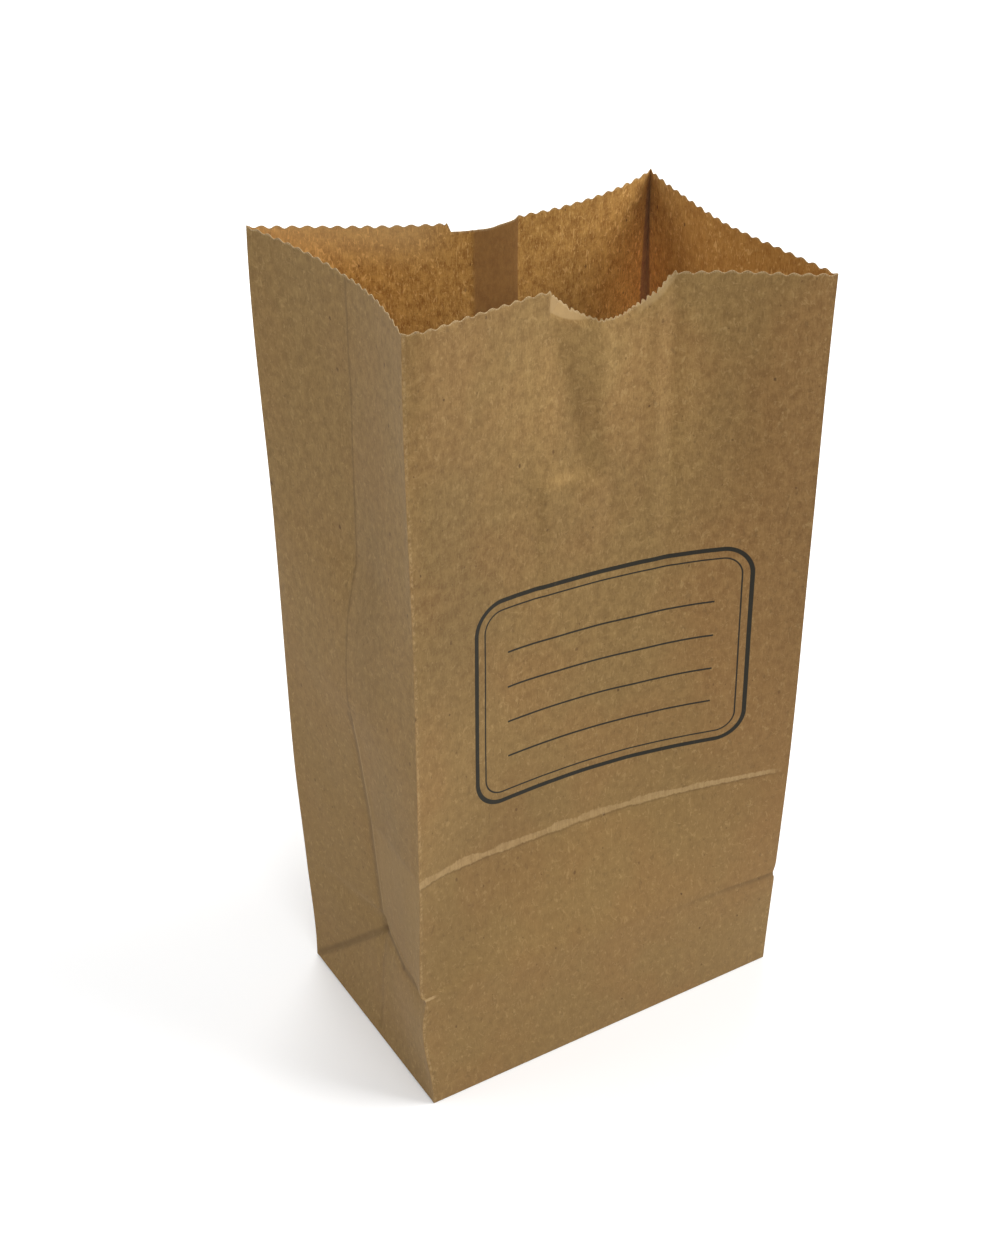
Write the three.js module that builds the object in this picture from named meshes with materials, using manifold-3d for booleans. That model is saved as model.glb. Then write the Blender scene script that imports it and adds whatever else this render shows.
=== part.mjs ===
// Brown paper lunch bag: flat-bottomed, with gusseted sides, standing open.
// One folded and glued sheet of kraft paper, so one thin-walled solid.
// Millimetres, +Z up, front towards -Y, origin at the middle of the base.

import * as THREE from 'three';
import Module from 'manifold-3d';

// Sizes of the sheet
const width = 127;
const depth = 79.375;
const height = 247.65;
const paper = 0.12;

// Saw-cut rim: the tips of the teeth stand at the full height
const toothPitch = 3.97;
const toothHeight = 0.8;
const samplesPerTooth = 4;

// Thumb notch in the front of the rim, an arc with finer teeth
const notchWidth = 38.1;
const notchOffset = 2.3;
const notchDepth = 8.9;
const notchToothPitch = 1.5;
const notchToothHeight = 0.7;

// Shallow relief in the back of the rim, with straight ends
const reliefWidth = 21.8;
const reliefOffset = 1.2;
const reliefDepth = 2.7;
const reliefEndRun = 1.2;
const cutMargin = 0.8;

// Glued lap down the inside of the back, and the lap of the two base flaps
const seamWidth = 14.3;
const seamOffset = 4.95;
const seamStep = 0.3;
const flapLap = 13;
const flapEdgeGroove = 0.4;
const floorMargin = 0.6;
const overlapOfCuts = 0.01;

// How far the opened bag stands off a true box: each corner's shift from its
// place in the box, at each level
const levels = [0, 0.5 * depth, depth, 0.64 * height, height];
const frontLeftLevels = [0, 0.35 * depth, 0.57 * depth, depth, 0.64 * height, height];
const frontLeftShift = [[0.2, 0.4], [-2.8, 2.0], [-3.2, 3.0], [-1.9, 5.8], [-1.3, 10.7], [-1.3, 16.5]];
const frontRightShift = [[-0.8, 1.0], [-1.3, -0.2], [-2.0, -1.4], [-5.5, -3.4], [-9.8, -6.1]];
const backRightShift = [[-0.1, 0], [-0.9, -0.4], [-3.0, -1.1], [-6.5, -2.4], [-10.8, -2.9]];
const backLeftShift = [[1.8, -2.3], [0.2, 0.2], [-1.3, 3.7], [-2.3, 8.8], [-3.4, 16.4]];

// How far the middle of each panel stands in from the line between its corners
const frontBow = [0, 1.0, 9.0, 12.0, 15.0];
const backBow = [0, 2.0, 7.0, 12.5, 17.5];
const frontBowSkew = 0.3;
const backBowSkew = 0.25;

// The front rim's own bends, from its left end to its right, which fade out downwards
const rimBendPlaces = [0, 0.055, 0.107, 0.167, 0.248, 0.306, 0.362, 0.5, 0.656, 0.69, 0.74, 0.82, 0.903, 1];
const rimBendIn = [0, 0, 2.3, 5.4, 8.7, 10.4, 10.9, 13.6, 14.4, 12.9, 11.4, 7.6, 3.5, 0];
const rimShapeFrom = 0.4 * height;

// How far the centre crease of each side stands in, from the base crease point up
const creaseHeight = 0.456 * depth;
const gussetLevels = [
  creaseHeight, depth, 1.35 * depth, 1.54 * depth, 0.54 * height, 0.61 * height, 0.67 * height, height,
];
const leftGussetIn = [8.2, 5.8, 2.6, 0.2, 0.7, 2.2, 5.9, 7.0];
const rightGussetIn = [7.0, 5.0, 2.6, 1.6, 1.6, 2.0, 2.5, 4.4];
const gussetRoundFrom = 0.6 * height;

// Fineness of the facets
const cell = 8;
const upperRowHeight = 12;
const climbStep = 8;
const foldRows = [0, 1 / 3, 2 / 3].map((share) => THREE.MathUtils.lerp(creaseHeight, depth, share));
const shoulderDrop = 4.5;
const underCutDrop = 2.4;
const clearOfSeam = 1;
const sharpestMitre = 0.5;
const evenWithin = 0.001;

const halfDepth = depth / 2;
const perimeter = 2 * (width + depth);
const flapLength = halfDepth + flapLap / 2;
const corners = { frontRight: width, backRight: width + depth, backLeft: 2 * width + depth };

// Smooth curve through the values given at the levels
function along(levelList, values, s) {
  const last = levelList.length - 1;
  if (s <= levelList[0]) return values[0];
  if (s >= levelList[last]) return values[last];
  const i = levelList.findIndex((level) => level > s) - 1;
  const slope = (k) => {
    if (k === 0 || k === last) return 0;
    const before = (values[k] - values[k - 1]) / (levelList[k] - levelList[k - 1]);
    const after = (values[k + 1] - values[k]) / (levelList[k + 1] - levelList[k]);
    return before * after > 0 ? (2 * before * after) / (before + after) : 0;
  };
  const span = levelList[i + 1] - levelList[i];
  const f = (s - levelList[i]) / span;
  const rise = f * f * (3 - 2 * f);
  const startPull = f * (1 - f) * (1 - f) * span * slope(i);
  const endPull = f * f * (f - 1) * span * slope(i + 1);
  return values[i] + rise * (values[i + 1] - values[i]) + startPull + endPull;
}

// Straight lines between the values given at the places
function straight(places, values, x) {
  const k = places.findIndex((place) => place >= x);
  if (k === 0) return values[0];
  if (k < 0) return values.at(-1);
  const f = (x - places[k - 1]) / (places[k] - places[k - 1]);
  return THREE.MathUtils.lerp(values[k - 1], values[k], f);
}

function cornerAt(boxX, boxY, shifts, s, levelList = levels) {
  const x = boxX + along(levelList, shifts.map((shift) => shift[0]), s);
  const y = boxY + along(levelList, shifts.map((shift) => shift[1]), s);
  return new THREE.Vector2(x, y);
}

const frontLeft = (s) => cornerAt(-width / 2, -halfDepth, frontLeftShift, s, frontLeftLevels);
const frontRight = (s) => cornerAt(width / 2, -halfDepth, frontRightShift, s);
const backRight = (s) => cornerAt(width / 2, halfDepth, backRightShift, s);
const backLeft = (s) => cornerAt(-width / 2, halfDepth, backLeftShift, s);

// Inward bow across a panel, deepest on one side of its middle
const arc = (t) => 4 * t * (1 - t);
const skewed = (t, skew) => arc(t) * (1 + skew * (1 - 2 * t));
const backInset = (t, s) => along(levels, backBow, s) * skewed(t, backBowSkew);

// The front is creased level where it stands as high as the base is deep,
// bows in above, and takes on its rim's bends towards the top
function frontInset(t, s) {
  const bow = straight(levels, frontBow, s);
  const low = bow * skewed(t, frontBowSkew);
  const high = (bow / frontBow.at(-1)) * straight(rimBendPlaces, rimBendIn, t);
  return THREE.MathUtils.lerp(low, high, THREE.MathUtils.smoothstep(s, rimShapeFrom, height));
}

// A side is folded in along its centre. Below the crease point its back half
// opens into a flat triangle that stands on the base fold, and its front half
// is creased level with that point.
function gussetInset(insets, t, s, inFront) {
  const tent = 1 - Math.abs(2 * t - 1);
  if (s < creaseHeight) {
    const climb = s / creaseHeight;
    return insets[0] * (inFront ? climb * tent : Math.min(climb, tent));
  }
  const round = THREE.MathUtils.smoothstep(s, gussetRoundFrom, height);
  return straight(gussetLevels, insets, s) * THREE.MathUtils.lerp(tent, arc(t), round);
}

// Plan position of the sheet: u runs round the bag from the front left fold
function planPoint(u, s) {
  const panels = [
    [0, width, frontLeft, frontRight, (t) => frontInset(t, s)],
    [corners.frontRight, depth, frontRight, backRight, (t) => gussetInset(rightGussetIn, t, s, t < 0.5)],
    [corners.backRight, width, backRight, backLeft, (t) => backInset(t, s)],
    [corners.backLeft, depth, backLeft, frontLeft, (t) => gussetInset(leftGussetIn, t, s, t > 0.5)],
  ];
  const round = ((u % perimeter) + perimeter) % perimeter;
  const [start, length, from, to, inset] = panels.findLast((panel) => panel[0] <= round);
  const t = (round - start) / length;
  const a = from(s);
  const b = to(s);
  const inward = new THREE.Vector2(a.y - b.y, b.x - a.x).normalize();
  return a.lerp(b, t).addScaledVector(inward, inset(t));
}

// Each vertical line of the sheet keeps its length as it leans
function sheetPoint(u, s) {
  const steps = Math.max(1, Math.ceil(s / climbStep));
  let plan = planPoint(u, 0);
  let z = 0;
  for (let k = 1; k <= steps; k += 1) {
    const next = planPoint(u, (s * k) / steps);
    const lean = next.distanceTo(plan);
    z += Math.sqrt((s / steps) ** 2 - lean ** 2);
    plan = next;
  }
  return new THREE.Vector3(plan.x, plan.y, z);
}

// Even stops along one panel, with extra ones where the wall steps
function panelStops(start, length, count, extra = []) {
  const even = Array.from({ length: count }, (_, k) => start + (length * k) / count);
  const clear = even.filter((u) => extra.every((stop) => Math.abs(stop - u) > clearOfSeam) || u === start);
  return [...clear, ...extra].sort((a, b) => a - b);
}

const notchMiddle = width / 2 + notchOffset;
const backMiddle = corners.backRight + width / 2;
const reliefMiddle = backMiddle - reliefOffset;
const seamStart = backMiddle - seamOffset - seamWidth / 2;
const seamEnd = seamStart + seamWidth;
const seamStops = [seamStart, seamStart + seamStep, seamEnd - seamStep, seamEnd];
const halfColumns = Math.max(2, Math.round(halfDepth / cell));
const wideColumns = Math.max(4, Math.round(width / cell));

const bodyStops = [
  ...panelStops(0, width, wideColumns),
  ...panelStops(corners.frontRight, depth, 2 * halfColumns),
  ...panelStops(corners.backRight, width, wideColumns, seamStops),
  ...panelStops(corners.backLeft, depth, 2 * halfColumns),
];

const isSeam = (u) => u > seamStart + seamStep / 2 && u < seamEnd - seamStep / 2;

const toothDip = (k, size) => (size / 2) * (1 - Math.cos((2 * Math.PI * k) / samplesPerTooth));

const inNotch = (u, margin = 0) => Math.abs(u - notchMiddle) < notchWidth / 2 + margin;
const inRelief = (u, margin = 0) => Math.abs(u - reliefMiddle) < reliefWidth / 2 + margin;

// How far the cut dips below the full height, without its teeth
function cutDip(u) {
  if (inNotch(u)) {
    const radius = (notchWidth ** 2 / 4 + notchDepth ** 2) / (2 * notchDepth);
    const across = u - notchMiddle;
    return Math.sqrt(radius ** 2 - across ** 2) - (radius - notchDepth);
  }
  if (inRelief(u)) {
    const fromEnd = reliefWidth / 2 - Math.abs(u - reliefMiddle);
    return reliefDepth * Math.min(1, fromEnd / reliefEndRun);
  }
  return 0;
}

// Stops of the cut rim: toothed panels, with the notch and the relief let in
function rimStops() {
  const stops = [];
  const toothed = (start, length, skip) => {
    const count = Math.round(length / toothPitch);
    const pitch = length / count;
    for (let k = 0; k < count * samplesPerTooth; k += 1) {
      const u = start + (k * pitch) / samplesPerTooth;
      const tip = k % samplesPerTooth === 0;
      if (!skip(u)) stops.push({ u, s: height - toothDip(k, toothHeight), tip });
    }
  };
  toothed(0, width, (u) => inNotch(u, cutMargin));
  toothed(corners.frontRight, halfDepth, () => false);
  toothed(corners.frontRight + halfDepth, halfDepth, () => false);
  toothed(corners.backRight, width, (u) => inRelief(u, cutMargin));
  toothed(corners.backLeft, halfDepth, () => false);
  toothed(corners.backLeft + halfDepth, halfDepth, () => false);
  stops.push(...notchStops(), ...reliefStops());
  return stops.sort((a, b) => a.u - b.u);
}

function notchStops() {
  const count = Math.round(notchWidth / notchToothPitch);
  const stops = [];
  for (let k = 0; k <= count * samplesPerTooth; k += 1) {
    const u = notchMiddle - notchWidth / 2 + (notchWidth * k) / (count * samplesPerTooth);
    const s = height - cutDip(u) - toothDip(k, notchToothHeight);
    stops.push({ u, s, tip: k % samplesPerTooth === 0 });
  }
  return stops;
}

function reliefStops() {
  const half = reliefWidth / 2;
  const inner = half - reliefEndRun;
  const ends = [-half, -inner, inner, half].map((offset) => reliefMiddle + offset);
  const places = [...ends, ...seamStops].sort((a, b) => a - b);
  const apart = places.filter((u, k) => k === 0 || u - places[k - 1] > evenWithin);
  return apart.map((u) => ({ u, s: height - cutDip(u), tip: true }));
}

// Rows of the sheet from the base fold to the rim, each a list of stops
function sheetRows() {
  const shoulder = height - notchDepth - shoulderDrop;
  const lowRows = Array.from({ length: halfColumns }, (_, k) => (creaseHeight * k) / halfColumns);
  const count = Math.ceil((shoulder - depth) / upperRowHeight);
  const highRows = Array.from({ length: count + 1 }, (_, k) => depth + ((shoulder - depth) * k) / count);
  const rows = [...lowRows, ...foldRows, ...highRows].map((s) => bodyStops.map((u) => ({ u, s })));
  const rim = rimStops();
  const tips = rim.filter((stop) => stop.tip);
  const underCut = tips.map(({ u }) => ({ u, s: height - cutDip(u) - underCutDrop }));
  return [...rows, underCut, rim];
}

// Triangles between two closed rows, each across the shorter diagonal. Where
// the two are even, the diagonal follows the slanted folds of the sides.
function stitch(low, high, lowFirst, highFirst, triangles) {
  const at = (row, k) => (k < row.length ? row[k] : { u: perimeter, s: row[0].s });
  const apart = (p, q) => Math.hypot(p.u - q.u, p.s - q.s);
  let i = 0;
  let j = 0;
  while (i < low.length || j < high.length) {
    const forward = apart(at(low, i), at(high, j + 1));
    const back = apart(at(low, i + 1), at(high, j));
    const even = Math.abs(forward - back) < evenWithin && i < low.length;
    const shorter = even ? risesForward(low[i].u) : forward < back;
    const highSteps = i === low.length || (j < high.length && shorter);
    const here = lowFirst + (i % low.length);
    const above = highFirst + (j % high.length);
    if (highSteps) {
      triangles.push([here, highFirst + ((j + 1) % high.length), above]);
      j += 1;
    } else {
      triangles.push([here, lowFirst + ((i + 1) % low.length), above]);
      i += 1;
    }
  }
}

// The fold from a base corner climbs towards the centre of its side
function risesForward(u) {
  const rightMiddle = corners.frontRight + halfDepth;
  const leftMiddle = corners.backLeft + halfDepth;
  if (u >= corners.frontRight && u < corners.backRight) return u < rightMiddle - 1e-6;
  if (u >= corners.backLeft) return u < leftMiddle - 1e-6;
  return u < width / 2;
}

// Offset of each vertex that keeps the wall one sheet thick across the folds
function inwardOffsets(points, triangles) {
  const faces = points.map(() => []);
  for (const triangle of triangles) {
    const [a, b, c] = triangle.map((k) => points[k]);
    const normal = new THREE.Vector3().crossVectors(b.clone().sub(a), c.clone().sub(a));
    normal.normalize();
    triangle.forEach((k, corner) => {
      const here = points[k];
      const toNext = points[triangle[(corner + 1) % 3]].clone().sub(here);
      const toLast = points[triangle[(corner + 2) % 3]].clone().sub(here);
      faces[k].push({ normal, weight: toNext.angleTo(toLast) });
    });
  }
  return faces.map((list) => {
    const mean = new THREE.Vector3();
    list.forEach(({ normal, weight }) => mean.addScaledVector(normal, weight));
    mean.normalize();
    const tightest = Math.min(...list.map(({ normal }) => normal.dot(mean)));
    return mean.multiplyScalar(-1 / Math.max(tightest, sharpestMitre));
  });
}

// Both faces of the sheet, the cut rim between them, and a solid floor
function shellGeometry() {
  const rows = sheetRows();
  const outer = [];
  const firsts = rows.map((row) => {
    const first = outer.length;
    row.forEach(({ u, s }) => outer.push(sheetPoint(u, s)));
    return first;
  });
  const wall = [];
  for (let k = 0; k + 1 < rows.length; k += 1) {
    stitch(rows[k], rows[k + 1], firsts[k], firsts[k + 1], wall);
  }
  const offsets = inwardOffsets(outer, wall);
  const stops = rows.flat();
  const inner = outer.map((point, k) => {
    const layers = isSeam(stops[k].u) ? 2 : 1;
    return point.clone().addScaledVector(offsets[k], layers * paper);
  });
  const count = outer.length;
  const baseRow = rows[0].length;
  for (let k = 0; k < baseRow; k += 1) inner[k].z = 3 * paper;
  const points = [...outer, ...inner, new THREE.Vector3(0, 0, 0), new THREE.Vector3(0, 0, 3 * paper)];
  const faces = [...wall, ...wall.map(([a, b, c]) => [count + a, count + c, count + b])];
  const under = 2 * count;
  const floor = under + 1;
  for (let k = 0; k < baseRow; k += 1) {
    const next = (k + 1) % baseRow;
    faces.push([under, next, k], [floor, count + k, count + next]);
  }
  const rimFirst = firsts.at(-1);
  const rimRow = rows.at(-1).length;
  for (let k = 0; k < rimRow; k += 1) {
    const a = rimFirst + k;
    const b = rimFirst + ((k + 1) % rimRow);
    faces.push([a, b, count + b], [a, count + b, count + a]);
  }
  return { points, faces };
}

// Place in the base, from its place in the true rectangle
function basePoint(x, y) {
  const right = x / width + 0.5;
  const back = y / depth + 0.5;
  const front = frontLeft(0).lerp(frontRight(0), right);
  return front.lerp(backLeft(0).lerp(backRight(0), right), back);
}

// Upright block over an outline in the base
function block(outline, bottom, top) {
  const shape = new THREE.Shape(outline.map(([x, y]) => basePoint(x, y)));
  const geometry = new THREE.ExtrudeGeometry(shape, { depth: top - bottom, bevelEnabled: false });
  geometry.translate(0, 0, bottom);
  return geometry;
}

const wasm = await Module();
wasm.setup();

function solidFrom(points, faces) {
  const vertProperties = new Float32Array(points.flatMap((point) => point.toArray()));
  const triVerts = new Uint32Array(faces.flat());
  return new wasm.Manifold(new wasm.Mesh({ numProp: 3, vertProperties, triVerts }));
}

// The same for a geometry: corners at one place are merged first
function solidOf(geometry) {
  const places = new Map();
  const points = [];
  const position = geometry.getAttribute('position');
  const corner = (k) => {
    const point = new THREE.Vector3().fromBufferAttribute(position, k);
    const key = point.toArray().map((value) => value.toFixed(5)).join();
    if (!places.has(key)) {
      places.set(key, points.length);
      points.push(point);
    }
    return places.get(key);
  };
  const faces = [];
  const index = geometry.getIndex();
  const total = index ? index.count : position.count;
  for (let k = 0; k < total; k += 3) {
    faces.push([k, k + 1, k + 2].map((m) => corner(index ? index.getX(m) : m)));
  }
  return solidFrom(points, faces);
}

function geometryOf(solid) {
  const mesh = solid.getMesh();
  const geometry = new THREE.BufferGeometry();
  geometry.setAttribute('position', new THREE.BufferAttribute(mesh.vertProperties, mesh.numProp));
  geometry.setIndex(new THREE.BufferAttribute(mesh.triVerts, 1));
  geometry.computeVertexNormals();
  return geometry;
}

// Base folds. Outside, the front and back flaps cover all but a triangle at
// each end, which lies two sheets higher. Inside, the side flaps stop short
// of the middle, where the floor is one sheet, or two in the lap.
function baseCuts() {
  const over = flapLap / 4;
  const cuts = [];
  for (const side of [-1, 1]) {
    const outX = side * (width / 2 + over);
    const reach = halfDepth + over;
    const outline = [[outX, -reach], [side * (width / 2 - halfDepth), 0], [outX, reach]];
    cuts.push(block(outline, -over, 2 * paper));
  }
  const strip = (fromY, toY, bottom, top) => {
    const half = width / 2 - flapLength;
    cuts.push(block([[-half, fromY], [half, fromY], [half, toY], [-half, toY]], bottom, top));
  };
  const wallY = halfDepth - floorMargin;
  const lapY = flapLap / 2;
  if (flapLength < width / 2) {
    strip(-wallY, -lapY, paper, 3 * paper + over);
    strip(lapY, wallY, paper, 3 * paper + over);
    strip(-lapY - overlapOfCuts, lapY + overlapOfCuts, 2 * paper, 3 * paper + over);
  }
  const edgeX = width / 2 - halfDepth;
  const edgeY = -lapY;
  const outline = [[-edgeX, edgeY], [edgeX, edgeY], [edgeX, edgeY + flapEdgeGroove]];
  cuts.push(block([...outline, [-edgeX, edgeY + flapEdgeGroove]], -over, paper / 2));
  return cuts;
}

function bagGeometry() {
  const { points, faces } = shellGeometry();
  let bag = solidFrom(points, faces);
  for (const cut of baseCuts()) bag = bag.subtract(solidOf(cut));
  return geometryOf(bag);
}

const kraft = new THREE.MeshStandardMaterial({ color: 0x8f7047, roughness: 0.9, metalness: 0 });
const bag = new THREE.Mesh(bagGeometry(), kraft);
bag.name = 'bag';

const model = new THREE.Group();
model.add(bag);

export default model;
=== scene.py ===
import math

import bpy
import numpy as np
from mathutils import Matrix


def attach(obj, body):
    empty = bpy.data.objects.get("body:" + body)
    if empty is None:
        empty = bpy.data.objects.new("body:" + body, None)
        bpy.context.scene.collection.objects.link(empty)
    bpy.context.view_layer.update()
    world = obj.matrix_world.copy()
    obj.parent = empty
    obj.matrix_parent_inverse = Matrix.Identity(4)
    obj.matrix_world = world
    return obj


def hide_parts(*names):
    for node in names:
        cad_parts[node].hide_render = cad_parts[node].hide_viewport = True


# Brown paper lunch bag, standing open. The sheet is drawn in its own flat
# coordinates, u round the bag from the front left fold and s up from the base
# fold, in millimetres, and then folded and bowed into shape.

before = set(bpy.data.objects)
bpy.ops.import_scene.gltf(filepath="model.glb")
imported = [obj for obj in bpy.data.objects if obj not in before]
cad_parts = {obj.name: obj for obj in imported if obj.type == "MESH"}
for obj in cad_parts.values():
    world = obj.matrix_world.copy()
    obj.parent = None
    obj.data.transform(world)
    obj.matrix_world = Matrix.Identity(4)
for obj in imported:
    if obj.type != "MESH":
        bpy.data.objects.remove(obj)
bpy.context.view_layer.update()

MM = 0.001

# Sizes of the sheet
WIDTH = 127.0
DEPTH = 79.375
HEIGHT = 247.65
PAPER = 0.12
HALF = DEPTH / 2
FRONT_RIGHT = WIDTH
BACK_RIGHT = WIDTH + DEPTH
BACK_LEFT = 2 * WIDTH + DEPTH
PERIMETER = 2 * (WIDTH + DEPTH)
BACK_MIDDLE = BACK_RIGHT + WIDTH / 2

# Cut rim
TOOTH_HEIGHT = 0.8
TOOTH_SAMPLES = 8
TOOTH_SPREAD = (0.8, 1.12)
NOTCH_MIDDLE = WIDTH / 2 + 2.3
NOTCH_WIDTH = 38.1
NOTCH_DEPTH = 8.9
NOTCH_TEETH = 25
NOTCH_TOOTH_HEIGHT = 0.75
NOTCH_TOOTH_SAMPLES = 6
NOTCH_TOOTH_SPREAD = (0.35, 1.4)
RELIEF_MIDDLE = BACK_MIDDLE - 1.2
RELIEF_WIDTH = 21.8
RELIEF_DEPTH = 2.7
RELIEF_END = 1.2
RELIEF_SLOPE = 9.5
RELIEF_STEP = 0.3
RELIEF_SAMPLE = 1.3
RELIEF_ROUGHNESS = 0.12
RIM_RISE_PLACES = [0, 46, 60, 100, 115, 127, 150, BACK_LEFT - 40, BACK_LEFT, BACK_LEFT + HALF, PERIMETER]
RIM_RISES = [1.2, 1.2, 0, 0, -0.5, -0.7, 0, 0, 0.4, 1.2, 1.2]
FRONT_TEETH = 32
SIDE_TEETH = 20

# Glued lap down the inside of the back, and the laps of the base
SEAM_WIDTH = 14.3
SEAM_OFFSET = 4.8
SEAM_STEP = 0.3
SEAM_START = BACK_MIDDLE - SEAM_OFFSET - SEAM_WIDTH / 2
SEAM_END = SEAM_START + SEAM_WIDTH
SEAM_STOPS = np.array([SEAM_START, SEAM_START + SEAM_STEP, SEAM_END - SEAM_STEP, SEAM_END])
FLAP_LAP = 13.0
FLAP_STEP = 1.4

# Where the base lies on the flat sheet's drawing, past the rim
BASE_START = HEIGHT + 12

# Corners of the opened bag, shifted from a true box: levels, then x and y
FRONT_LEFT_SHIFT = (
    [0, 28, 45, DEPTH, 0.64 * HEIGHT, HEIGHT],
    [0.2, -2.8, -3.2, -1.9, -1.3, -1.3],
    [0.4, 2.0, 3.0, 5.8, 10.7, 16.5],
)
FRONT_RIGHT_SHIFT = (
    [0, HALF, DEPTH, 0.64 * HEIGHT, HEIGHT],
    [-0.8, -1.3, -2.0, -5.5, -9.8],
    [1.0, -0.2, -1.4, -3.4, -6.1],
)
BACK_RIGHT_SHIFT = (
    [0, HALF, DEPTH, 0.64 * HEIGHT, HEIGHT],
    [-0.1, -0.9, -3.0, -6.5, -10.8],
    [0, -0.4, -1.1, -2.4, -2.9],
)
BACK_LEFT_SHIFT = (
    [0, HALF, DEPTH, 0.64 * HEIGHT, HEIGHT],
    [1.8, 0.2, -1.3, -2.3, -3.4],
    [-2.3, 0.2, 3.7, 8.8, 16.4],
)

# Inward bow of the panels, and how the front one bends at the rim
BOW_LEVELS = [0, HALF, DEPTH, 0.64 * HEIGHT, HEIGHT]
FRONT_BOW = [0, 1.0, 9.0, 12.0, 15.0]
FRONT_SKEW = 0.3
BACK_BOW = [0, 2.0, 7.0, 12.5, 17.5]
BACK_SKEW = 0.25
RIM_BENDS = [
    (0, 0), (0.055, 0), (0.107, 2.3), (0.167, 5.4), (0.248, 8.7), (0.306, 10.4), (0.362, 10.9),
    (0.5, 13.6), (0.656, 14.4), (0.69, 12.9), (0.74, 11.4), (0.82, 7.6), (0.903, 3.5), (1, 0),
]
RIM_SHAPE_FROM = 0.4 * HEIGHT
BEND_ROUNDING = 0.012
CREASE_ROUNDING = 1.2
ROUNDING_SAMPLES = np.array([-1.5, -0.9, -0.3, 0.3, 0.9, 1.5])
CREASE_LIFT = 2.8
LIFT_RUN = 45.0
LIFT_BELOW = 20.0
LIFT_ABOVE = 30.0

# Small kinks of the two front folds: how far in, their level, and their runs below and above
KINK_LEVEL = 40.4
LEFT_KINK = (1.7, KINK_LEVEL, 6.0, 1.8)
RIGHT_KINK = (0.8, 0.93 * HALF, 1.2, 2.4)

# Fold-in of the sides at their centre crease
CREASE_POINT = 36.2
GUSSET_LEVELS = [CREASE_POINT, DEPTH, 107, 122, 134, 148, 158, 166, 190, 216, HEIGHT]
LEFT_GUSSET = [8.2, 5.8, 2.6, 0.2, 0.7, 1.8, 3.7, 5.9, 6.5, 7.5, 6.9]
RIGHT_GUSSET = [7.0, 5.0, 2.6, 1.6, 1.6, 1.9, 2.2, 2.5, 3.0, 3.7, 4.4]
GUSSET_ROUND_FROM = 0.6 * HEIGHT
GUSSET_ROUNDNESS = 0.85
FRONT_CREASE_PLACES = [0, 7, 22, 34, HALF]
FRONT_CREASE_LEVELS = [CREASE_POINT, 34.9, 35.2, 38.8, KINK_LEVEL]
CREASE_TOP = 44.0

# Soft waves of the sheet: height, size round the bag, size up it, and seed
WAVES = ((0.45, 34, 48, 3), (0.16, 13, 17, 5), (0.05, 5, 6, 8))

# Fineness of the mesh: square cells below the base crease points, and rows and columns
# that keep clear of those which follow the upper crease and the seam
WIDE_COLUMNS = 96
SIDE_COLUMNS = 60
LOW_ROWS = SIDE_COLUMNS // 2
UPPER_ROW = 2.7
CREASE_ROW = 0.9
CREASE_CLEAR = 1.6
SEAM_CLEAR = 0.45
CUT_CLEAR = 0.4
SHOULDER = HEIGHT - NOTCH_DEPTH - 3.5
SHOULDER_ROWS = 5
UNDER_CUT = 1.4
CLIMB_STEPS = 64
SHARP_ANGLE = math.radians(27)

# Panels round the sheet: where each starts, its length, its teeth and its columns
PANELS = (
    (0, WIDTH, FRONT_TEETH, WIDE_COLUMNS),
    (FRONT_RIGHT, DEPTH, SIDE_TEETH, SIDE_COLUMNS),
    (BACK_RIGHT, WIDTH, FRONT_TEETH, WIDE_COLUMNS),
    (BACK_LEFT, DEPTH, SIDE_TEETH, SIDE_COLUMNS),
)


def smoothstep(low, high, x):
    f = np.clip((x - low) / (high - low), 0, 1)
    return f * f * (3 - 2 * f)


def unit(vectors):
    """The same directions, with a length of 1."""
    return vectors / np.maximum(np.linalg.norm(vectors, axis=-1, keepdims=True), 1e-12)


def along(levels, values, s):
    """Smooth curve through the values at the levels, with no overshoot."""
    levels = np.asarray(levels, float)
    values = np.asarray(values, float)
    s = np.clip(s, levels[0], levels[-1])
    i = np.clip(np.searchsorted(levels, s, side="right") - 1, 0, len(levels) - 2)
    steps = np.diff(values) / np.diff(levels)
    before = steps[:-1]
    after = steps[1:]
    same = before * after > 0
    inner = np.where(same, 2 * before * after / np.where(same, before + after, 1), 0)
    slopes = np.concatenate([[0], inner, [0]])
    span = levels[i + 1] - levels[i]
    f = (s - levels[i]) / span
    rise = f * f * (3 - 2 * f)
    pulls = f * (1 - f) ** 2 * span * slopes[i] + f * f * (f - 1) * span * slopes[i + 1]
    return values[i] + rise * (values[i + 1] - values[i]) + pulls


def soft_noise(u, s, size_u, size_s, seed):
    """Smooth random height over the sheet, from -1 to 1, that joins up round the bag."""
    cells = round(PERIMETER / size_u)
    rows = int(HEIGHT / size_s) + 4
    values = np.random.default_rng(seed).uniform(-1, 1, (cells, rows))
    x = (u % PERIMETER) / PERIMETER * cells
    y = np.clip(s / size_s, 0, rows - 2)
    i = np.floor(x).astype(int)
    j = np.floor(y).astype(int)
    f = smoothstep(0, 1, x - i)
    g = smoothstep(0, 1, y - j)
    left = values[i % cells, j] * (1 - g) + values[i % cells, j + 1] * g
    right = values[(i + 1) % cells, j] * (1 - g) + values[(i + 1) % cells, j + 1] * g
    return left * (1 - f) + right * f


def corner(box_x, box_y, shift, s):
    levels, x_shifts, y_shifts = shift
    x = box_x + along(levels, x_shifts, s)
    y = box_y + along(levels, y_shifts, s)
    return np.stack([x, y], -1)


def dent(s, level, below, above):
    """Bell that falls off below and above a level."""
    return np.exp(-(((s - level) / np.where(s < level, below, above)) ** 2))


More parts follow.
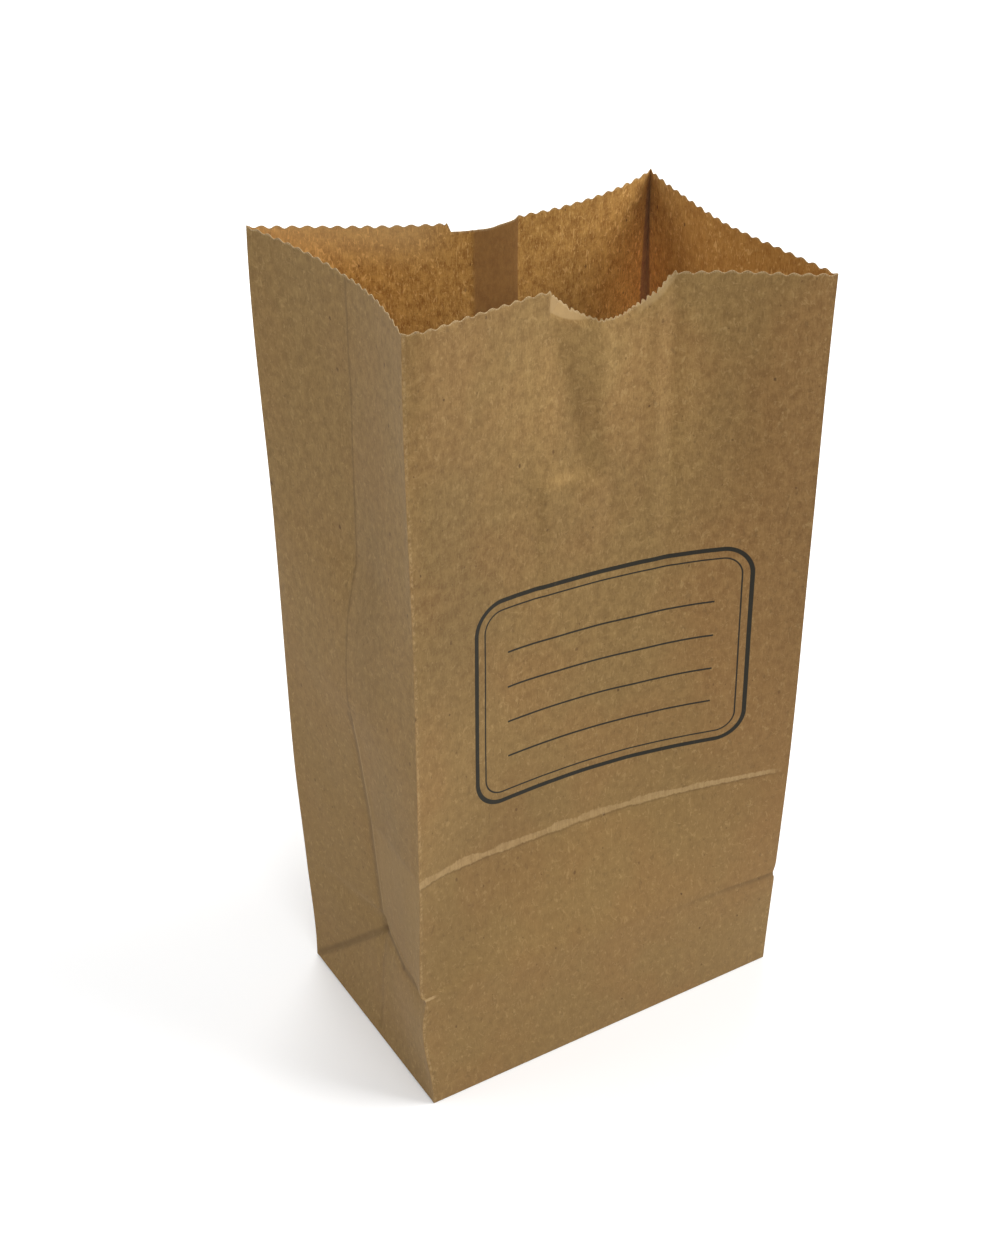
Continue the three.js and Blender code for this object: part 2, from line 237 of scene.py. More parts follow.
def front_left(s):
    place = corner(-WIDTH / 2, -HALF, FRONT_LEFT_SHIFT, s)
    place[..., 0] += LEFT_KINK[0] * dent(s, *LEFT_KINK[1:])
    return place


def front_right(s):
    place = corner(WIDTH / 2, -HALF, FRONT_RIGHT_SHIFT, s)
    place[..., 0] -= RIGHT_KINK[0] * dent(s, *RIGHT_KINK[1:])
    return place


def back_right(s):
    return corner(WIDTH / 2, HALF, BACK_RIGHT_SHIFT, s)


def back_left(s):
    return corner(-WIDTH / 2, HALF, BACK_LEFT_SHIFT, s)


def arc(t):
    return 4 * t * (1 - t)


def bent(x, places, values, rounding):
    """Straight lines from place to place, with each bend rounded a little."""
    shifts = rounding * ROUNDING_SAMPLES
    return np.mean([np.interp(x + shift, places, values) for shift in shifts], 0)


def rim_bends(t):
    """The bent line of the front rim, from corner to corner."""
    places, insets = np.array(RIM_BENDS).T
    places = np.concatenate([-places[:0:-1], places, 2 - places[-2::-1]])
    insets = np.concatenate([-insets[:0:-1], insets, -insets[-2::-1]])
    return bent(t, places, insets, BEND_ROUNDING)


def crease_lift(u, s):
    """How far the places about the upper crease are lifted with it: near the front left
    fold it runs higher than the bag's depth."""
    away = np.minimum(u % PERIMETER, PERIMETER - u % PERIMETER)
    rise = CREASE_LIFT * (1 - smoothstep(0, LIFT_RUN, away))
    return rise * dent(s, DEPTH, LIFT_BELOW, LIFT_ABOVE)


def front_inset(t, s):
    bow = bent(s - crease_lift(t * WIDTH, s), BOW_LEVELS, FRONT_BOW, CREASE_ROUNDING)
    low = bow * arc(t) * (1 + FRONT_SKEW * (1 - 2 * t))
    high = bow / FRONT_BOW[-1] * rim_bends(t)
    return low + smoothstep(RIM_SHAPE_FROM, HEIGHT, s) * (high - low)


def back_inset(t, s):
    return along(BOW_LEVELS, BACK_BOW, s) * arc(t) * (1 + BACK_SKEW * (1 - 2 * t))


def gusset_inset(insets, t, s, front_half):
    """A side folds in along its centre. Below the crease point its back half is a flat
    triangle on the base fold, and its front half is creased about level with that point."""
    tent = 1 - np.abs(2 * t - 1)
    crease = np.interp(HALF * (1 - tent), FRONT_CREASE_PLACES, FRONT_CREASE_LEVELS)
    crease = np.where(front_half, crease, CREASE_POINT)
    climb = np.clip(s / crease, 0, 1)
    low = insets[0] * np.where(front_half, climb * tent, np.minimum(climb, tent))
    roundness = GUSSET_ROUNDNESS * smoothstep(GUSSET_ROUND_FROM, HEIGHT, s)
    high = bent(s, GUSSET_LEVELS, insets, CREASE_ROUNDING) * (tent + roundness * (arc(t) - tent))
    return np.where(s < crease, low, high)


def plan(u, s):
    """Plan position of the sheet, and the level direction that points into the bag."""
    u = u % PERIMETER
    panels = (
        (0, WIDTH, front_left, front_right, front_inset),
        (FRONT_RIGHT, DEPTH, front_right, back_right,
         lambda t, s: gusset_inset(RIGHT_GUSSET, t, s, t < 0.5)),
        (BACK_RIGHT, WIDTH, back_right, back_left, back_inset),
        (BACK_LEFT, DEPTH, back_left, front_left,
         lambda t, s: gusset_inset(LEFT_GUSSET, t, s, t > 0.5)),
    )
    place = np.empty(u.shape + (2,))
    inward = np.empty(u.shape + (2,))
    for start, length, first, last, inset in panels:
        here = (u >= start) & (u < start + length)
        t = (u[here] - start) / length
        a = first(s[here])
        b = last(s[here])
        into = unit(np.stack([a[:, 1] - b[:, 1], b[:, 0] - a[:, 0]], -1))
        place[here] = a + (b - a) * t[:, None] + into * inset(t, s[here])[:, None]
        inward[here] = into
    return place, inward


def climbed(u, s):
    """Height reached: each upright line of the sheet keeps its length as it leans."""
    shares = np.linspace(0, 1, CLIMB_STEPS + 1)
    steps = s[:, None] * shares
    across = np.repeat(u[:, None], len(shares), 1)
    place, _ = plan(across, steps)
    lean = np.linalg.norm(np.diff(place, axis=1), axis=-1)
    rise = np.sqrt(np.maximum(np.diff(steps, axis=1) ** 2 - lean**2, 0))
    return rise.sum(1)


# Turned-in lip of the notch: its hinge line and how steeply it leans in, from its
# upright left fold and above its hinge. The right edge is turned in by a narrow strip.
LIP_HINGE = [(46.9, 241.0), (52, 238.6), (59.5, 236.4), (63, 237.6)]
LIP_FOLD = 46.9
LIP_SIDE_SLOPE = 0.85
LIP_SLOPE = 0.62
LIP_ROUNDING = 0.4
SMALL_LIP_START = 72.0
SMALL_LIP_END = 84.6
SMALL_LIP_HEIGHT = 2.4

# Flank of the dent below the notch, by level: its valley, its ridge further right,
# where the sheet is even again on both sides, and how far valley and ridge stand off
FLANK_LEVELS = [184, 192, 198, 208, 218, 228, 237, HEIGHT]
FLANK_START = [46, 44, 42, 38, 35, 32, 30, 30]
FLANK_VALLEY = [60.5, 59.4, 58.2, 55.4, 52.6, 49.8, 47.8, 47.2]
FLANK_RIDGE = [67.0, 66.2, 65.2, 64.0, 63.0, 62.6, 62.4, 62.4]
FLANK_END = [84, 84, 84, 84, 83, 82, 80, 80]
VALLEY_DEPTH = [0, 0.5, 1.2, 1.8, 2.2, 2.4, 2.2, 1.8]
RIDGE_HEIGHT = [0, 0.3, 0.9, 1.4, 1.8, 2.0, 1.6, 0.8]

# Soft level ridge at the flank's foot, and how high it stands
FOOT_RIDGE = [(40, 198.4), (43.5, 197.3), (60.5, 191.9), (66, 190)]
FOOT_HEIGHT = 1.3

# Soft upright creases, by place, half width and height: a ridge with a groove beside it
# under the notch's right end, and a groove below the dent
UPRIGHT_RIDGE = (80.4, 2.6, 0.8)
UPRIGHT_GROOVE = (85.2, 1.6, 0.45)
LOWER_GROOVE = (43.0, 1.8, 0.4)


def line_level(u, line):
    """Level of a bent line at each place."""
    places, levels = zip(*line)
    return np.interp(u, places, levels)


def bell(x, width):
    return np.exp(-((x / width) ** 2))


def upright(u, place, width, height):
    return height * bell(u - place, width)


def lip(u, s):
    """How far the left lip of the thumb notch leans in, above its hinge line."""
    hinge = line_level(u, LIP_HINGE)
    from_fold = LIP_SIDE_SLOPE * np.maximum(u - LIP_FOLD, 0)
    from_hinge = LIP_SLOPE * np.maximum(s - hinge, 0) * (1 - smoothstep(55, 64, u))
    lean = np.minimum(from_fold, from_hinge)
    return lean * lean / (lean + LIP_ROUNDING)


def small_lip(u, s):
    """The right edge of the notch, turned in by a narrow strip."""
    below = cut_level(u) - s
    inside = smoothstep(SMALL_LIP_START - 6, SMALL_LIP_START + 3, u)
    inside = inside * (1 - smoothstep(SMALL_LIP_END - 1, SMALL_LIP_END + 1, u))
    return 0.8 * np.clip(1 - below / SMALL_LIP_HEIGHT, 0, 1) ** 1.5 * SMALL_LIP_HEIGHT * inside


def flank_profile(u, s):
    """Relief of the dent below the notch, with sharp bends."""
    start, valley, ridge, end = (
        np.interp(s, FLANK_LEVELS, line)
        for line in (FLANK_START, FLANK_VALLEY, FLANK_RIDGE, FLANK_END)
    )
    low = -along(FLANK_LEVELS, VALLEY_DEPTH, s)
    high = along(FLANK_LEVELS, RIDGE_HEIGHT, s)
    sinking = low * np.clip((u - start) / (valley - start), 0, 1) ** 1.3
    rising = low + (high - low) * (u - valley) / (ridge - valley)
    falling = high * np.clip((end - u) / (end - ridge), 0, 1) ** 1.2
    return np.where(u < valley, sinking, np.where(u < ridge, rising, falling))


def flank(u, s):
    """The dent with its bends rounded a little."""
    return np.mean([flank_profile(u + shift, s) for shift in (-1.0, -0.4, 0.4, 1.0)], 0)


def foot_ridge(u, s):
    """A soft level ridge whose upper side catches the light."""
    level = line_level(u, FOOT_RIDGE)
    reach = smoothstep(38, 47, u) * (1 - smoothstep(60, 67, u))
    above = 1 - smoothstep(-1.6, 2.6, s - level)
    return FOOT_HEIGHT * above * smoothstep(-30, -2, s - level) * reach


def upright_crease(u, s):
    """Blunt upright creases: one under the notch's right end, one below the dent."""
    upper = upright(u, *UPRIGHT_RIDGE) - upright(u, *UPRIGHT_GROOVE)
    lower = upright(u, *LOWER_GROOVE) * smoothstep(140, 185, s) * (1 - smoothstep(190, 199, s))
    return upper * smoothstep(0.55 * HEIGHT, 0.9 * HEIGHT, s) - lower


# Creases of the sides, in places from their back fold and levels, then how deep their
# groove is, or below 0 how high their ridge: from the base corner to the crease point,
# on to the front fold, the upper one, a faint one down from the crease point, and the
# two edges of the centre crease
SIDE_CREASES = [
    ([(0, 0), (HALF, CREASE_POINT)], 0.3),
    ([(HALF, CREASE_POINT), (46.4, 34.9), (57.4, 35.2), (73.7, 38.8), (DEPTH, KINK_LEVEL)], 0.3),
    ([(HALF + 2, 79.0), (60, 83.0), (DEPTH, 85.0)], -0.35),
    ([(HALF, CREASE_POINT), (HALF + 0.8, 20), (HALF + 4, 3)], 0.14),
    ([(HALF - 1.8, 44), (HALF - 1.5, 112)], 0.25),
    ([(HALF + 1.2, 44), (HALF + 1.2, 112)], -0.25),
]
CREASE_WIDTH = 1.3


def from_line(u, s, line):
    """Distance of each place from a line of straight parts."""
    nearest = np.full(u.shape, np.inf)
    for (ua, sa), (ub, sb) in zip(line[:-1], line[1:]):
        length = (ub - ua) ** 2 + (sb - sa) ** 2
        f = np.clip(((u - ua) * (ub - ua) + (s - sa) * (sb - sa)) / length, 0, 1)
        nearest = np.minimum(nearest, np.hypot(u - ua - f * (ub - ua), s - sa - f * (sb - sa)))
    return nearest


def side_creases(u, s):
    """Soft grooves and ridges along the creases of both sides."""
    across = np.maximum(u - BACK_LEFT, BACK_RIGHT - u)
    total = np.zeros_like(u)
    for line, depth in SIDE_CREASES:
        total -= depth * bell(from_line(across, s, line), CREASE_WIDTH)
    return total


def from_folds(u):
    """Distance of each place from the nearest upright corner fold."""
    folds = np.array([0, FRONT_RIGHT, BACK_RIGHT, BACK_LEFT, PERIMETER])
    return np.abs((u % PERIMETER)[..., None] - folds).min(-1)


def outward(u, s):
    """All the small relief of the sheet, outwards."""
    waves = sum(height * soft_noise(u, s, *sizes) for height, *sizes in WAVES) * smoothstep(0, 12, s)
    front = flank(u, s) - lip(u, s) - small_lip(u, s) + foot_ridge(u, s) + upright_crease(u, s)
    front = np.where(u < WIDTH, front, 0)
    return (waves + front + side_creases(u, s)) * smoothstep(0, 5, from_folds(u))


def sheet_points(u, s):
    place, inward = plan(u, s)
    place = place - inward * outward(u, s)[:, None]
    return np.column_stack([place, climbed(u, s)])


def toothing(phase, size):
    """Dip of a rounded saw edge below its tips, by turns of the tooth pitch."""
    wave = 0.5 * (1 - np.cos(2 * math.pi * phase))
    return size * wave**1.25


def cut_level(u):
    """Level of the cut rim, without its teeth: the cut runs a little uneven."""
    across = u - NOTCH_MIDDLE
    radius = (NOTCH_WIDTH**2 / 4 + NOTCH_DEPTH**2) / (2 * NOTCH_DEPTH)
    dip = np.sqrt(np.maximum(radius**2 - across**2, 0)) - (radius - NOTCH_DEPTH)
    notch = np.where(np.abs(across) < NOTCH_WIDTH / 2, dip, 0)
    from_end = RELIEF_WIDTH / 2 - np.abs(u - RELIEF_MIDDLE)
    climb = np.clip((u - RELIEF_MIDDLE + RELIEF_WIDTH / 2) / RELIEF_SLOPE, 0, 1)
    share = RELIEF_STEP + (1 - RELIEF_STEP) * climb
    relief = RELIEF_DEPTH * np.clip(from_end / RELIEF_END, 0, 1) * share
    return HEIGHT - notch - relief + np.interp(u % PERIMETER, RIM_RISE_PLACES, RIM_RISES)


def rim_line():
    """Places and levels of the cut rim, tooth by tooth."""
    places = []
    dips = []
    rng = np.random.default_rng(11)
    for start, length, count, _ in PANELS:
        phase = np.arange(count * TOOTH_SAMPLES) / TOOTH_SAMPLES
        size = TOOTH_HEIGHT * np.repeat(rng.uniform(*TOOTH_SPREAD, count), TOOTH_SAMPLES)
        u = start + phase * length / count
        notched = np.abs(u - NOTCH_MIDDLE) < NOTCH_WIDTH / 2 + CUT_CLEAR
        relieved = np.abs(u - RELIEF_MIDDLE) < RELIEF_WIDTH / 2 + CUT_CLEAR
        kept = ~(notched | relieved)
        places.append(u[kept])
        dips.append(toothing(phase, size)[kept])
    phase = np.arange(NOTCH_TEETH * NOTCH_TOOTH_SAMPLES + 1) / NOTCH_TOOTH_SAMPLES
    places.append(NOTCH_MIDDLE - NOTCH_WIDTH / 2 + phase * NOTCH_WIDTH / NOTCH_TEETH)
    sizes = NOTCH_TOOTH_HEIGHT * rng.uniform(*NOTCH_TOOTH_SPREAD, NOTCH_TEETH + 1)
    dips.append(toothing(phase, sizes[phase.astype(int)]))
    half = RELIEF_WIDTH / 2
    ends = np.array([-half, -half + RELIEF_END, half - RELIEF_END, half])
    middle = np.arange(-half + 2.2, half - 2, RELIEF_SAMPLE)
    relief = np.concatenate([RELIEF_MIDDLE + ends, RELIEF_MIDDLE + middle, SEAM_STOPS])
    places.append(relief)
    dips.append(RELIEF_ROUGHNESS * rng.uniform(0, 1, len(relief)))
    places = np.concatenate(places)
    order = np.argsort(places, kind="stable")
    return places[order], (cut_level(places) - np.concatenate(dips))[order]


def column_stops():
    """Stops round the sheet: even ones for the base fold, and the wall's with its seam."""
    even = np.concatenate([
        start + np.linspace(0, length, columns, endpoint=False)
        for start, length, _, columns in PANELS
    ])
    apart = np.abs(even[:, None] - SEAM_STOPS).min(1) > SEAM_CLEAR
    return even, np.sort(np.concatenate([even[apart], SEAM_STOPS]))


def sheet_rows():
    """Rows of the wall from the base fold to the rim, as places and levels."""
    even, wall = column_stops()
    low = np.linspace(0, CREASE_POINT, LOW_ROWS + 1)[1:]
    close = np.arange(CREASE_POINT + low[0], CREASE_TOP, low[0])
    count = math.ceil((SHOULDER - CREASE_TOP) / UPPER_ROW)
    upper = np.linspace(CREASE_TOP, SHOULDER, count + 1)
    creases = np.array([DEPTH - CREASE_ROW, DEPTH, DEPTH + CREASE_ROW])
    upper = upper[np.abs(upper - DEPTH) > CREASE_CLEAR]
    levels = np.sort(np.concatenate([low, close, upper, creases]))
    rows = [(even, np.zeros_like(even))]
    rows += [(wall, level + crease_lift(wall, level)) for level in levels]
    top = cut_level(wall) - UNDER_CUT
    for k in range(1, SHOULDER_ROWS + 1):
        rows.append((wall, SHOULDER + (top - SHOULDER) * k / SHOULDER_ROWS))
    rows.append(rim_line())
    return rows


def climbs_back(u):
    """True where the triangles lean back, to follow the fold from the back right corner."""
    return FRONT_RIGHT + HALF <= u < BACK_RIGHT


def stitch(low, high, low_first, high_first):
    """Triangles between two closed rows of the sheet."""
    triangles = []
    low_u = np.append(low[0], PERIMETER)
    high_u = np.append(high[0], PERIMETER)
    low_count = len(low[0])
    high_count = len(high[0])
    i = 0
    j = 0
    while i < low_count or j < high_count:
        ahead = i < low_count and j < high_count
        even = ahead and abs(low_u[i] - high_u[j]) < 1e-6 and abs(low_u[i + 1] - high_u[j + 1]) < 1e-6
        if even:
            move_high = not climbs_back(low_u[i])
        elif ahead:
            move_high = low_u[i + 1] + low_u[i] > high_u[j + 1] + high_u[j]
        else:
            move_high = i == low_count
        here = low_first + i % low_count
        above = high_first + j % high_count
        if move_high:
            triangles.append((here, high_first + (j + 1) % high_count, above))
            j += 1
        else:
            triangles.append((here, low_first + (i + 1) % low_count, above))
            i += 1
    return triangles


def stitched(rows):
    """Places and levels of all rows, the number each row starts from, and the triangles."""
    u = np.concatenate([row[0] for row in rows])
    s = np.concatenate([row[1] for row in rows])
    firsts = np.concatenate([[0], np.cumsum([len(row[0]) for row in rows])])
    triangles = []
    for k in range(len(rows) - 1):
        triangles += stitch(rows[k], rows[k + 1], firsts[k], firsts[k + 1])
    return u, s, firsts, np.array(triangles)


def cut_edge(first, inner):
    """Triangles of the cut rim: the outer face's last row starts at first, and the inner
    face's points are numbered from inner."""
    here = np.arange(first, inner)
    after = np.roll(here, -1)
    return np.concatenate([
        np.stack([here, after, inner + after], 1),
        np.stack([here, inner + after, inner + here], 1),
    ])


def vertex_normals(points, triangles):
    """Normals of the sheet's points, each triangle counted by its angle there."""
    a, b, c = (points[triangles[:, k]] for k in range(3))
    normals = unit(np.cross(b - a, c - a))
    summed = np.zeros_like(points)
    for k, (here, ahead, behind) in enumerate(((a, b, c), (b, c, a), (c, a, b))):
        cosine = (unit(ahead - here) * unit(behind - here)).sum(1)
        angle = np.arccos(np.clip(cosine, -1, 1))
        np.add.at(summed, triangles[:, k], normals * angle[:, None])
    return unit(summed)


def base_place(right, back):
    """Place in the base from its shares of the width and the depth."""
    zero = np.zeros(1)
    corners = [f(zero)[0] for f in (front_left, front_right, back_left, back_right)]
    front = corners[0] + (corners[1] - corners[0]) * right[:, None]
    rear = corners[2] + (corners[3] - corners[2]) * right[:, None]
    return front + (rear - front) * back[:, None]


def base_grid():
    """Shares across and back of the base's grid, and its rim in the order of the wall."""
    columns = WIDE_COLUMNS + 1
    rows = SIDE_COLUMNS + 1
    right, back = np.meshgrid(np.linspace(0, 1, columns), np.linspace(0, 1, rows))
    number = np.arange(columns * rows).reshape(rows, columns)
    rim = np.concatenate([
        number[0, :-1], number[:-1, -1], number[-1, :0:-1], number[:0:-1, 0],
    ])
    return right.ravel(), back.ravel(), number, rim


def under_heights(right, back):
    """The end triangles of the underside lie two sheets higher than the flaps."""
    x = (right - 0.5) * WIDTH
    y = (back - 0.5) * DEPTH
    from_end = WIDTH / 2 - np.abs(x)
    recessed = (HALF - np.abs(y)) - from_end > 0.5
    lower_flap = (y > -FLAP_LAP / 2) & (y < -FLAP_LAP / 2 + FLAP_STEP) & ~recessed
    return np.where(recessed, 2 * PAPER, 0) + np.where(lower_flap, PAPER / 2, 0)


def floor_heights(right, back):
    """The floor inside is one to three sheets thick, between the side flaps."""
    x = np.abs(right - 0.5) * WIDTH
    y = np.abs(back - 0.5) * DEPTH
    between = x < WIDTH / 2 - HALF - FLAP_LAP / 2
    lapped = y <= FLAP_LAP / 2
    middle = between & (y < HALF - 1)
    return np.where(middle, np.where(lapped, 2, 1), 3) * PAPER


def grid_numbers(rim, rim_numbers, inside, first):
    """Vertex numbers of a base grid, whose rim is shared with the wall."""
    numbers = np.empty(len(inside), int)
    numbers[rim] = rim_numbers
    numbers[inside] = first + np.arange(inside.sum())
    return numbers


def grid_triangles(number, flip):
    a = number[:-1, :-1].ravel()
    b = number[:-1, 1:].ravel()
    c = number[1:, 1:].ravel()
    d = number[1:, :-1].ravel()
    faces = np.concatenate([np.stack([a, b, c], 1), np.stack([a, c, d], 1)])
    return faces[:, ::-1] if flip else faces


# Numbers of the materials: outside, inside and cut edge
OUTER, INNER, EDGE = 0, 1, 2


def wall_uv(u, s, faces):
    """Places on the flat sheet of each face's corners, also where a face ends at the
    fold that the sheet starts from."""
    uv = np.stack([u[faces], s[faces]], -1)
    wraps = (uv[:, :, 0].max(1) - uv[:, :, 0].min(1)) > PERIMETER / 2
    uv[wraps, :, 0] = np.where(uv[wraps, :, 0] < 1, PERIMETER, uv[wraps, :, 0])
    return uv


def bag_mesh():
    """Both faces of the sheet, the cut rim between them, and the folded base."""
    u, s, firsts, wall = stitched(sheet_rows())
    outer = sheet_points(u, s)
    in_seam = (u > SEAM_START + SEAM_STEP / 2) & (u < SEAM_END - SEAM_STEP / 2)
    layers = np.where(in_seam, 2, 1)
    inner = outer - vertex_normals(outer, wall) * (layers * PAPER)[:, None]
    count = len(outer)
    base_count = firsts[1]
    rim_first = firsts[-2]

    right, back, number, rim = base_grid()
    base = base_place(right, back)
    under_z = under_heights(right, back)
    floor_z = floor_heights(right, back)
    outer[:base_count, 2] = under_z[rim]
    inner[:base_count, 2] = floor_z[rim]
    inside = np.ones(len(right), bool)
    inside[rim] = False
    shared = np.arange(base_count)
    under_number = grid_numbers(rim, shared, inside, 2 * count)
    floor_number = grid_numbers(rim, count + shared, inside, 2 * count + inside.sum())
    under = np.column_stack([base, under_z])[inside]
    floor = np.column_stack([base, floor_z])[inside]
    points = np.concatenate([outer, inner, under, floor])

    edge = cut_edge(rim_first, count)
    under_grid = grid_triangles(number, True)
    floor_grid = grid_triangles(number, False)
    sheet = np.concatenate([wall, count + wall[:, ::-1], edge])
    faces = np.concatenate([sheet, under_number[under_grid], floor_number[floor_grid]])
    kinds = np.repeat(
        [OUTER, INNER, EDGE, OUTER, INNER],
        [len(wall), len(wall), len(edge), len(under_grid), len(floor_grid)],
    )
    grid_uv = np.column_stack([right * WIDTH, BASE_START + back * DEPTH])
    sheet_uv = wall_uv(np.tile(u, 2), np.tile(s, 2), sheet)
    uv = np.concatenate([sheet_uv, grid_uv[under_grid], grid_uv[floor_grid]])
    below = cut_level(u) - s
    below[rim_first:] = 0
    below = np.concatenate([below, below, np.full(2 * inside.sum(), HEIGHT)])
    return points, faces, kinds, uv, below


def make_bag():
    points, faces, kinds, uv, below = bag_mesh()
    mesh = bpy.data.meshes.new("paper_bag")
    mesh.from_pydata((points * MM).tolist(), [], faces.tolist())
    for material in (outer_kraft(), inner_kraft(), cut_kraft()):
        mesh.materials.append(material)
    mesh.polygons.foreach_set("material_index", kinds.astype(np.int32))
    layer = mesh.uv_layers.new(name="sheet")
    layer.uv.foreach_set("vector", (uv / PERIMETER).astype(np.float32).ravel())
    attribute = mesh.attributes.new("below_cut", "FLOAT", "POINT")
    attribute.data.foreach_set("value", below.astype(np.float32))
    mesh.polygons.foreach_set("use_smooth", np.ones(len(faces), bool))
    mesh.set_sharp_from_angle(angle=SHARP_ANGLE)
    mesh.update()
    return placed("paper_bag", mesh)


def linear(red, green, blue):
    """Linear colour from its 0 to 255 display values."""
    values = []
    for value in (red, green, blue):
        share = value / 255
        values.append(share / 12.92 if share <= 0.04045 else ((share + 0.055) / 1.055) ** 2.4)
    return (*values, 1.0)


class Value:
    """A number worked out by the shader's nodes, used in sums like any other number."""

    def __init__(self, shader, socket):
        self.shader = shader
        self.socket = socket

    def __add__(self, other):
        return self.shader.math("ADD", self, other)

    def __sub__(self, other):
        return self.shader.math("SUBTRACT", self, other)

    def __rsub__(self, other):
        return self.shader.math("SUBTRACT", other, self)

    def __mul__(self, other):
        return self.shader.math("MULTIPLY", self, other)

    def __truediv__(self, other):
        return self.shader.math("DIVIDE", self, other)

    def __abs__(self):
        return self.shader.math("ABSOLUTE", self)

    __radd__ = __add__

    def smooth(self, low, high):
        """0 up to low, and 1 from high on."""
        inputs = {"Value": self, "From Min": low, "From Max": high}
        made = self.shader.node("ShaderNodeMapRange", inputs, interpolation_type="SMOOTHSTEP")
        return Value(self.shader, made.outputs[0])

    def fade(self, low, high):
        """1 up to low, and 0 from high on."""
        return 1.0 - self.smooth(low, high)

    def near(self, centre, half, soft):
        """1 within half of the centre, and 0 further off than half and soft."""
        return abs(self - centre).fade(half, half + soft)


class Shader:
    """Short names for the nodes that the paper's materials are made of."""

    def __init__(self, name):
        self.material = bpy.data.materials.new(name)
        self.material.use_nodes = True
        self.tree = self.material.node_tree
        self.surface = self.tree.nodes["Principled BSDF"]

    def node(self, kind, inputs, **settings):
        made = self.tree.nodes.new(kind)
        for name, value in settings.items():
            setattr(made, name, value)
        for name, value in inputs.items():
            self.put(made.inputs[name], value)
        return made

    def put(self, socket, value):
        if isinstance(value, Value):
            value = value.socket
        if isinstance(value, bpy.types.NodeSocket):
            self.tree.links.new(value, socket)
        else:
            socket.default_value = value

    def math(self, operation, a, b=0.0, clamp=False):
        made = self.node("ShaderNodeMath", {0: a, 1: b}, operation=operation, use_clamp=clamp)
        return Value(self, made.outputs[0])

    def larger(self, a, b):
        return self.math("MAXIMUM", a, b)

    def smaller(self, a, b):
        return self.math("MINIMUM", a, b)

    def length(self, x, y):
        return self.math("SQRT", x * x + y * y)

    def blend(self, first, second, share):
        made = self.node("ShaderNodeMix", {"Factor": share, 6: first, 7: second}, data_type="RGBA")
        return made.outputs[2]

    def layered(self, colour, *layers):
        """The colour under layers, each of them a colour and its share."""
        for layer, share in layers:
            colour = self.blend(colour, layer, share)
        return colour

    def flat(self):
        """Place on the flat sheet in millimetres, as a vector, and its two parts."""
        uv = self.node("ShaderNodeUVMap", {}, uv_map="sheet").outputs[0]
        scaled = self.node("ShaderNodeVectorMath", {0: uv, "Scale": PERIMETER}, operation="SCALE")
        parts = self.node("ShaderNodeSeparateXYZ", {"Vector": scaled.outputs[0]})
        return scaled.outputs[0], Value(self, parts.outputs[0]), Value(self, parts.outputs[1])

    def below_cut(self):
        """Distance of each place below the cut rim, in millimetres."""
        made = self.node("ShaderNodeAttribute", {}, attribute_name="below_cut")
        return Value(self, made.outputs["Fac"])

    def mapped(self, vector, stretch, place, turn=0.0):
        """The vector turned by an angle, stretched and moved."""
        inputs = {"Vector": vector, "Location": (*place, 0), "Rotation": (0, 0, turn), "Scale": (*stretch, 1)}
        return self.node("ShaderNodeMapping", inputs).outputs[0]

    def noise(self, vector, stretch, detail=2.0, roughness=0.5, offset=0.0, turn=0.0, distortion=0.0):
        """Noise whose grains measure about 1/stretch millimetres across and along."""
        made = self.node("ShaderNodeTexNoise", {
            "Vector": self.mapped(vector, stretch, (offset, offset * 0.7), turn), "Scale": 1.0,
            "Detail": detail, "Roughness": roughness, "Distortion": distortion,
        }, noise_dimensions="2D")
        return Value(self, made.outputs["Fac"])

    def ragged(self, vector, reach, size, offset):
        """The same place, shifted at random by up to reach: it tears straight outlines."""
        place = self.mapped(vector, (1, 1), (offset, offset))
        inputs = {"Vector": place, "Scale": 1 / size, "Detail": 2.0}
        made = self.node("ShaderNodeTexNoise", inputs, noise_dimensions="2D")
        shift = self.node("ShaderNodeVectorMath", {
            0: made.outputs["Color"], 1: (2 * reach, 2 * reach, 0), 2: (-reach, -reach, 0),
        }, operation="MULTIPLY_ADD")
        return self.node("ShaderNodeVectorMath", {0: vector, 1: shift.outputs[0]}, operation="ADD").outputs[0]

    def specks(self, vector, spacing, size, share, offset):
        """Scattered blobs: a share of the cells hold one, up to size across."""
        place = self.mapped(vector, (1 / spacing, 0.7 / spacing), (offset, offset))
        cells = self.node("ShaderNodeTexVoronoi", {"Vector": place, "Scale": 1.0},
                          voronoi_dimensions="2D", feature="F1")
        parts = self.node("ShaderNodeSeparateColor", {"Color": cells.outputs["Color"]})
        chance, width, shade = (Value(self, part) for part in parts.outputs)
        reach = width * (size / spacing / 2) + 0.12 * size / spacing
        inside = Value(self, cells.outputs["Distance"]).fade(reach * 0.5, reach)
        return inside * self.math("LESS_THAN", chance, share) * (0.45 + shade * 0.55)

    def hairs(self, vector, stretch, width, offset, turn=0.0):
        """Thin curved lines, broken into short lengths, like single fibres."""
        field = self.noise(vector, stretch, 1.0, 0.5, offset, turn, 0.7)
        gaps = self.noise(vector, (0.5, 0.5), 1.0, 0.5, offset + 71)
        return field.near(0.5, 0.0, width) * gaps.smooth(0.48, 0.6)

    def from_line(self, u, s, start, end):
        """Distance of each place from the straight line between two places."""
        run = (end[0] - start[0], end[1] - start[1])
        length = run[0] ** 2 + run[1] ** 2
        x = u - start[0]
        y = s - start[1]
        share = x * (run[0] / length) + y * (run[1] / length)
        share = self.smaller(self.larger(share, 0.0), 1.0)
        return self.length(x - share * run[0], y - share * run[1])

    def patch(self, u, s, centre, reach):
        """Soft oval patch: 1 at its centre and 0 at its reach."""
        away = self.length((u - centre[0]) / reach[0], (s - centre[1]) / reach[1])
        return away.fade(0.0, 1.0)

